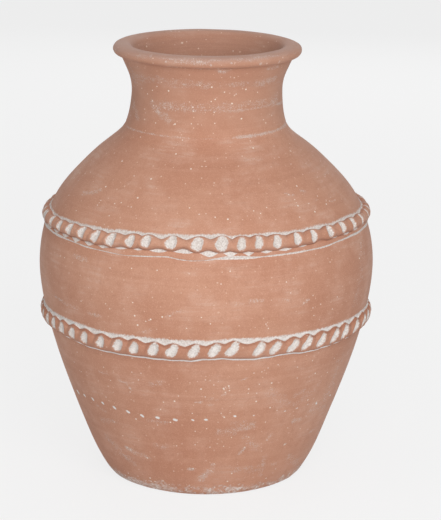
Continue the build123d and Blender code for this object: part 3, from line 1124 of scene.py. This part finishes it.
def make_upper_band(name, node):
    """The band under the shoulder, over a low flange with a wavering edge."""
    around = angles(band_columns)[None, :]
    band = Band(
        upper_middle, upper_coil_radius, upper_shown_radius, upper_dent_columns, upper_dent_count, 81)
    wander = by_angle(around, upper_wander)
    half = 0.5 * by_angle(around, upper_tallness)
    shift = 5.0 * math.tan(math.radians(14)) / band.radius
    bump_top = bumps(band, around, -shift, 8.4, 2.5)
    bump_low = bumps(band, around, shift, 8.0, 2.5)
    dips = by_angle(around, upper_dips)
    top_dips = dips * (1 + 0.25 * wave(around, 91, 37)) * (1 - bump_top)
    low_dips = 0.7 * dips * (1 + 0.3 * wave(around, 92, 41)) * (1 - bump_low)
    top = wander + half + 0.3 * wave(around, 93, 60) - top_dips
    low = wander - half + 0.3 * wave(around, 94, 60) + low_dips
    flange = by_angle(around, upper_line) + 0.5 * wave(around, 95, 19) + 0.35 * wave(around, 96, 48)
    flange = np.minimum(flange, low - 1.6)
    looks = dent_looks(band, upper_lengths, upper_widths, 2.5, upper_slants, 0.12, upper_wander)
    looks["groove"] = 0.45
    looks["swell"] = 0.4
    proud = by_angle(around, upper_proud) + 0.25 * wave(around, 97, 30)
    patch = by_angle(around, upper_patches) * (1 + 0.4 * wave(around, 101, 33))
    wash = by_angle(around, upper_wash) * (1 + 0.3 * wave(around, 99, 26)) * (1 - bump_top)
    wash = by_angle(around, upper_wash_base) + 0.8 * wash + 0.5 * wave(around, 104, 70)
    gain = by_angle(around, upper_wash_gain) + 0.2 * wave(around, 100, 18)
    lime = {
        "step": 1.1 + 0.3 * wave(around, 98, 21),
        "ridge": 0.0,
        "top_edge": top + wash,
        "top_soft": 3.2,
        "top_gain": gain + 0.15 * wave(around, 105, 90),
        "patch_edge": low - patch * (1 - bump_low) ** 0.7 + 0.6,
        "patch_gain": 1.0,
        "line_strength": by_angle(around, upper_line_strength) + 0.3 * wave(around, 102, 64),
        "line_drop": 0.3,
        "line_half": by_angle(around, upper_line_half) * (1 + 0.3 * wave(around, 103, 47)),
        "whiter_lime_and_painted_light": 0.1,
        "wash_whitening": 0.13,
        "dent_whitening": 0.0,
        "coil_painted_shade": 0.15,
        "dent_edge": 0.04,
        "dent_fade": 0.2,
    }
    return band_piece(name, node, band, upper_zone, top, low, flange, proud, looks, lime)


# How the lower band changes on its way round the jar
lower_crown = (
    (-180, 8.4), (-110, 8.4), (-90, 9.4), (-70, 10.8), (-60, 11.4), (-47, 11.2), (-40, 10.2), (-31, 10.0),
    (-25, 11.0), (-18, 10.0), (-6, 9.7), (2, 11.0), (9, 12.5), (18, 11.0), (28, 10.4), (42, 10.2), (70, 9.8),
    (90, 6.8), (110, 5.8), (180, 8.4))
lower_keel = (
    (-180, 8.0), (-110, 6.2), (-90, 6.2), (-60, 6.8), (-54, 7.2), (-46, 8.8), (-5, 8.9), (0, 7.0), (6, 6.5),
    (11.8, 8.6), (17, 9.0), (24, 7.8), (30, 7.5), (34, 8.9), (38, 9.8), (60, 9.8), (75, 9.0), (95, 7.6),
    (180, 8.0),
)
lower_wash = (
    (-180, 1.8), (-70, 1.8), (-55, 1.9), (-38, 1.2), (-24, 1.6), (-14, 2.8), (-4, 2.2), (4, 1.0), (9, 0.6),
    (16, 0.9), (24, 1.2), (40, 0.7), (60, 0.9), (180, 1.8))
lower_wash_whitening = (
    (-180, 0.4), (-60, 0.7), (-35, 0.45), (0, 0.4), (20, 0.5), (40, 0.8), (80, 0.9), (180, 0.4),
)
lower_offsets = (
    (-180, 1.5), (-90, 2.5), (-60, 2.3), (-50, 1.6), (-30, 1.8), (-12, 2.1), (-5, 2.7), (2, 3.8), (9, 4.2),
    (18, 2.1), (25, 1.7), (32, 1.2), (38, 0.5), (60, 0.4), (180, 1.5))
lower_slants = (
    (-180, 26), (-60, 20), (-38, 24), (-24, 24), (-12, 29), (0, 35), (12, 36), (45, 34), (65, 32), (90, 28),
    (180, 26))
lower_lengths = (
    (-180, 15.0), (-50, 13.2), (-30, 13.6), (-12, 14.8), (2, 15.6), (9, 17.0), (18, 16.0), (25, 15.8),
    (32, 16.8), (60, 17.0), (180, 15.0),
)
lower_widths = (
    (-180, 7.8), (-60, 9.2), (-38, 9.5), (-12, 9.2), (0, 8.6), (12, 9.0), (24, 8.6), (40, 9.0), (60, 9.2),
    (180, 7.8))


def make_lower_band(name, node):
    """The band at the foot of the belly: slanted strands and a thin line of lime below them."""
    around = angles(band_columns)[None, :]
    band = Band(
        lower_middle, lower_coil_radius, lower_shown_radius, lower_dent_columns, lower_dent_count, 82)
    looks = dent_looks(band, lower_lengths, lower_widths, 2.4, lower_slants, 0.08, lower_offsets)
    looks["groove"] = 0.9
    looks["swell"] = 0.45
    lean = between_dents(band, around, looks["slant"])
    shift = 2.5 * np.tan(lean) / band.radius
    bump_top = bumps(band, around, -shift, 7.6, 1.9)
    bump_low = bumps(band, around, shift, 8.0, 2.4)
    dips = 4.6 + 0.9 * wave(around, 111, 39)
    crown = by_angle(around, lower_crown) + 0.3 * wave(around, 112, 60)
    keel = by_angle(around, lower_keel) + 0.25 * wave(around, 113, 50)
    top = crown - dips * (1 - bump_top)
    low = 0.6 * (1 - bump_low) - keel
    flange = low - 2.2 + 0.3 * wave(around, 114, 28)
    proud = 5.8 + 0.25 * wave(around, 115, 30)
    lime = {
        "step": 0.0,
        "ridge": 0.1,
        "top_edge": crown + by_angle(around, lower_wash) + 0.4 * wave(around, 116, 23) + 0.3,
        "top_soft": 3.6,
        "top_gain": 0.05 + 0.12 * wave(around, 118, 15),
        "patch_edge": flange + 1.5,
        "patch_gain": 0.0,
        "line_strength": 1.1 + 0.3 * wave(around, 119, 35),
        "line_drop": -0.35,
        "line_half": 0.74 + 0.16 * wave(around, 120, 44),
        # Painted light: the thin line under the coil lies in the coil's shade and is whitened fully to near
        # white.
        "whiter_lime_and_painted_light": 1.0,
        "wash_whitening": by_angle(around, lower_wash_whitening),
        "dent_whitening": 0.3,
        # Painted shade over the whole lower coil.
        "coil_painted_shade": 0.6,
        "dent_edge": 0.12,
        "dent_fade": 0.45,
    }
    return band_piece(name, node, band, lower_zone, top, low, flange, proud, looks, lime)


# Materials
def srgb(red, green, blue):
    """A colour of the screen, 0 to 255, as the linear colour that a shader takes."""
    def linear(value):
        value = value / 255
        return value / 12.92 if value <= 0.04045 else ((value + 0.055) / 1.055) ** 2.4
    return linear(red), linear(green), linear(blue), 1.0


class Graph:
    """The nodes of a material or a world, each added and wired by one call."""

    def __init__(self, owner):
        owner.use_nodes = True
        self.tree = owner.node_tree
        self.tree.nodes.clear()

    def add(self, kind, inputs=(), **settings):
        """A node with its settings, its inputs given by name or number."""
        node = self.tree.nodes.new("ShaderNode" + kind)
        for key, value in settings.items():
            setattr(node, key, value)
        for key, value in dict(inputs).items():
            if isinstance(value, bpy.types.NodeSocket):
                self.tree.links.new(value, node.inputs[key])
            else:
                node.inputs[key].default_value = value
        return node

    def math(self, operation, first, second, clamp=False):
        """The result of one sum."""
        return self.add("Math", {0: first, 1: second}, operation=operation, use_clamp=clamp).outputs[0]

    def scaled(self, value, factor, shift=0.0):
        """A value times a factor, plus a shift."""
        return self.add("Math", {0: value, 1: factor, 2: shift}, operation="MULTIPLY_ADD").outputs[0]

    def mix(self, share, first, second):
        """One colour laid over another by a share."""
        return self.add("Mix", {0: share, 6: first, 7: second}, data_type="RGBA").outputs[2]

    def noise(self, place, scale, detail, rough):
        """Noise from 0 to 1 at a place."""
        inputs = {"Vector": place, "Scale": scale, "Detail": detail, "Roughness": rough}
        return self.add("TexNoise", inputs).outputs["Fac"]

    def ease(self, value, low, high, floor=0.0, top=1.0):
        """A value eased from one range to another."""
        inputs = {"Value": value, 1: low, 2: high, 3: floor, 4: top}
        return self.add("MapRange", inputs, interpolation_type="SMOOTHSTEP").outputs[0]

    def tinted(self, colour, value, low, high, most, tint):
        """A colour with a tint laid over it, up to a share, as a value nears the second limit."""
        return self.mix(self.ease(value, low, high, 0.0, most), colour, srgb(*tint))

    def stretch(self, place, across, up):
        """Places squeezed so that a texture runs round the jar."""
        inputs = {0: place, 1: (across, across, up)}
        return self.add("VectorMath", inputs, operation="MULTIPLY").outputs[0]

    def attribute(self, name):
        """A value painted on the mesh."""
        return self.add("Attribute", attribute_name=name).outputs["Fac"]


def specks(graph, place, scale, low, high, seed_shift):
    """Round grains of random size: 1 on a grain and 0 between them."""
    shifted = graph.add("VectorMath", {0: place, 1: (seed_shift, 0.3, 0.7)}, operation="ADD").outputs[0]
    cells = graph.add("TexVoronoi", {"Vector": shifted, "Scale": scale}, feature="F1")
    split = graph.add("SeparateColor", {0: cells.outputs["Color"]})
    size = graph.ease(split.outputs[0], 0.0, 1.0, low, high)
    gap = graph.math("SUBTRACT", size, cells.outputs["Distance"])
    return graph.math("MULTIPLY", gap, 30.0, clamp=True), split.outputs[1]


def clay_material(name, chalk_whitening):
    """Fired red clay with pale grains, turning lines and rubbed lime where the mesh says."""
    material = bpy.data.materials.new(name)
    graph = Graph(material)
    place = graph.add("TexCoord").outputs["Object"]
    height = graph.add("SeparateXYZ", {0: place}).outputs[2]
    inner = graph.attribute("inside")

    broad = graph.noise(place, 7.0, 3.0, 0.5)
    patch = graph.noise(place, 32.0, 4.0, 0.6)
    mottle = graph.noise(place, 150.0, 3.0, 0.6)
    grain = graph.noise(place, 900.0, 2.0, 0.6)
    dust = graph.noise(place, 1000.0, 2.0, 0.75)
    crumbs = graph.noise(place, 620.0, 3.0, 0.7)
    turned = graph.noise(graph.stretch(place, 5.0, 260.0), 1.0, 3.0, 0.55)
    rubbed = graph.noise(graph.stretch(place, 26.0, 330.0), 1.0, 4.0, 0.65)
    wide_turned = graph.noise(graph.stretch(place, 3.0, 60.0), 1.0, 2.0, 0.5)

    clay = graph.mix(graph.ease(broad, 0.35, 0.65), srgb(193, 138, 112), srgb(203, 151, 125))
    clay = graph.tinted(clay, patch, 0.38, 0.68, 0.45, (213, 163, 139))
    clay = graph.tinted(clay, wide_turned, 0.45, 0.75, 0.3, (186, 128, 101))
    # Inside the jar the clay is a little darker and duller: partly painted shade.
    clay = graph.mix(graph.scaled(inner, 0.8), clay, srgb(184, 136, 115))
    thrown = graph.math("MULTIPLY", inner, graph.ease(turned, 0.5, 0.64, 0.0, 0.45))
    clay = graph.mix(thrown, clay, srgb(158, 108, 90))
    for tint in (
        (turned, 0.5, 0.8, 0.22, (220, 174, 152)),
        (turned, 0.5, 0.2, 0.2, (178, 122, 97)),
        (mottle, 0.5, 0.75, 0.3, (183, 127, 101)),
        (grain, 0.5, 0.75, 0.42, (226, 184, 162)),
        (grain, 0.45, 0.25, 0.3, (172, 116, 92)),
    ):
        clay = graph.tinted(clay, *tint)

    veil = graph.math("MULTIPLY", graph.ease(patch, 0.45, 0.75), graph.ease(rubbed, 0.4, 0.7))
    veil = graph.math("MULTIPLY", veil, graph.ease(height, 0.0, 0.4, 0.5, 0.75))
    veil = graph.math("MULTIPLY", veil, graph.ease(dust, 0.38, 0.62, 0.25, 1.3))
    clay = graph.mix(veil, clay, srgb(216, 184, 167))
    # The neck made duller and a little darker: partly painted shade under the lip.
    clay = graph.tinted(clay, height, 0.358, 0.39, 0.4, (187, 143, 121))
    # The top of the lip turned grey: partly dust, partly painted sheen where the top catches the light.
    lip_top_dust_and_painted_sheen = graph.math("MULTIPLY", graph.ease(height, 0.443, 0.449), graph.ease(rubbed, 0.2, 0.6, 0.15, 0.5))
    clay = graph.mix(lip_top_dust_and_painted_sheen, clay, srgb(196, 164, 152))
    # Painted shade: where the mesh's shade marks say, the clay darkens towards deep brown.
    clay = graph.mix(graph.scaled(graph.attribute("shade"), 0.32), clay, srgb(146, 92, 70))

    dark, _ = specks(graph, place, 210.0, -0.25, 0.14, 4.0)
    clay = graph.mix(graph.scaled(dark, 0.35), clay, srgb(150, 96, 74))
    small, small_kind = specks(graph, place, 250.0, -0.42, 0.21, 1.0)
    large, _ = specks(graph, graph.stretch(place, 0.75, 1.0), 110.0, -0.36, 0.12, 2.0)
    scarce = graph.ease(graph.ease(height, 0.25, 0.37), 0.0, 1.0, 0.4, 0.6)
    grains = graph.math("MULTIPLY", graph.math("MAXIMUM", small, large), scarce)
    fleck = graph.add("Attribute", attribute_name="fleck").outputs["Vector"]
    fleck = graph.add("VectorMath", {0: fleck}, operation="LENGTH").outputs["Value"]
    fleck = graph.ease(graph.scaled(grain, 0.7, fleck), 1.5, 1.2)
    grain_colour = graph.mix(small_kind, srgb(244, 228, 212), srgb(232, 200, 176))
    grain_colour = graph.mix(fleck, grain_colour, srgb(240, 228, 216))
    clay = graph.mix(graph.math("MAXIMUM", grains, fleck), clay, grain_colour)

    chalk = graph.math("ADD", graph.attribute("chalk"), graph.scaled(crumbs, 1.0, -0.5))
    chalk = graph.ease(chalk, -0.3, 0.4)
    smear = graph.attribute("smear")
    for value, factor, shift in ((rubbed, 1.2, -0.6), (dust, 5.0, -2.65), (mottle, 2.0, -1.05)):
        smear = graph.math("ADD", smear, graph.scaled(value, factor, shift))
    smear = graph.ease(smear, -0.2, 1.1, 0.0, 0.62)
    lime_share = graph.math("MAXIMUM", chalk, smear)
    lime = graph.mix(graph.ease(crumbs, 0.32, 0.66), srgb(206, 193, 184), srgb(236, 229, 223))
    # Lime whitened towards near white: partly whiter lime, partly painted light on lime that lies in shade.
    whiter_lime_and_painted_light = graph.math("MAXIMUM", graph.attribute("whiter_lime_and_painted_light"), graph.scaled(chalk, chalk_whitening))
    lime = graph.mix(whiter_lime_and_painted_light, lime, srgb(253, 250, 247))
    surface = graph.mix(lime_share, clay, lime)

    rough_lime = graph.math("MULTIPLY", lime_share, graph.ease(crumbs, 0.2, 0.8, 0.3, 1.0))
    relief = 0.0
    for value, share in (
        (grain, 0.5), (turned, 0.55), (rubbed, 0.3), (grains, 0.35), (dark, -0.5), (rough_lime, 1.0),
    ):
        relief = graph.scaled(value, share, relief)
    bump = graph.add("Bump", {"Strength": 0.8, "Distance": 0.00035, "Height": relief}).outputs[0]
    shader = graph.add("BsdfPrincipled", {
        "Base Color": surface,
        "Roughness": graph.ease(mottle, 0.2, 0.8, 0.82, 0.95),
        "Specular IOR Level": 0.25,
        "Sheen Weight": 0.18,
        "Sheen Roughness": 0.45,
        "Sheen Tint": srgb(232, 222, 218),
        "Normal": bump,
    })
    graph.add("OutputMaterial", {0: shader.outputs[0]})
    return material


def floor_material():
    """A pale floor: mostly its own plain tone to the camera, with the jar's soft shadow in it."""
    material = bpy.data.materials.new("pale_floor")
    graph = Graph(material)
    rays = graph.add("LightPath")
    seen = graph.math("MAXIMUM", rays.outputs["Is Camera Ray"], rays.outputs["Is Glossy Ray"])
    seen = graph.math("MAXIMUM", seen, rays.outputs["Is Transmission Ray"])
    matte = graph.add("BsdfDiffuse", {"Color": srgb(236, 236, 236)})
    plain = graph.add("Emission", {"Color": srgb(249, 249, 249), "Strength": 1.0})
    share = graph.scaled(seen, 0.85)
    both = graph.add("MixShader", {0: share, 1: matte.outputs[0], 2: plain.outputs[0]})
    graph.add("OutputMaterial", {0: both.outputs[0]})
    return material


# Floor, lamps and the light all round
def add_floor():
    """A wide round floor at the jar's foot."""
    floor_radius = 14.0
    around = angles(96)
    ring = [(floor_radius * math.cos(turn), floor_radius * math.sin(turn), 0.0) for turn in around]
    mesh = bpy.data.meshes.new("floor")
    mesh.from_pydata(ring, [], [tuple(range(len(ring)))])
    mesh.materials.append(floor_material())
    floor = bpy.data.objects.new("floor", mesh)
    bpy.context.scene.collection.objects.link(floor)


def add_lamp(name, place, aim_height, width, height, watts):
    """A soft rectangular lamp that points at a height on the jar's axis."""
    data = bpy.data.lights.new(name, "AREA")
    data.shape = "RECTANGLE"
    data.size = width
    data.size_y = height
    data.energy = watts
    lamp = bpy.data.objects.new(name, data)
    lamp.location = place
    lamp.rotation_euler = (Vector((0, 0, aim_height)) - Vector(place)).to_track_quat("-Z", "Y").to_euler()
    bpy.context.scene.collection.objects.link(lamp)


def add_world():
    """Even light all round, and a pale background for the camera."""
    world = bpy.data.worlds.new("world")
    bpy.context.scene.world = world
    graph = Graph(world)
    seen = graph.add("LightPath").outputs["Is Camera Ray"]
    light = graph.add("Background", {0: srgb(250, 250, 252), 1: world_strength})
    pale = graph.add("Background", {0: srgb(240, 240, 240), 1: 1.0})
    both = graph.add("MixShader", {0: seen, 1: light.outputs[0], 2: pale.outputs[0]})
    graph.add("OutputWorld", {0: both.outputs[0]})


world_strength = 0.3

# Lamps: name, place, the height it points at, width, height and watts
lamps = (
    ("key", (0.4, -2.1, 1.3), 0.25, 1.5, 1.5, 35.5),
    ("fill", (-1.9, -1.2, 0.9), 0.25, 1.4, 1.6, 4.5),
    ("above", (0, 0.3, 2.3), 0.4, 2.2, 2.2, 4.6),
    ("behind", (0.3, 2.2, 1.1), 0.25, 1.6, 1.6, 9.0),
)

clay = clay_material("red_clay", 0.6)
limed = clay_material("limed_clay", 0.0)
made = [
    make_base("fired_base", "base"),
    make_wall("fired_lower_wall", "lower_wall", base_top, lower_wall_top, wall_back_step),
    make_wall("fired_belly", "belly", lower_wall_top, belly_top, wall_back_step),
    make_wall("fired_shoulder", "shoulder", belly_top, shoulder_top, wall_back_step),
    make_wall("fired_neck", "neck", shoulder_top, neck_top, fine_back_step),
    make_rim("fired_rim", "rim"),
]
bands = [
    make_upper_band("upper_rope_coil", "upper_rope_band"),
    make_lower_band("lower_rope_coil", "lower_rope_band"),
]
for piece in made:
    piece.data.materials.append(clay)
for piece in bands:
    piece.data.materials.append(limed)

add_floor()
add_world()
for lamp in lamps:
    add_lamp(*lamp)

bpy.context.scene.view_settings.view_transform = "Standard"
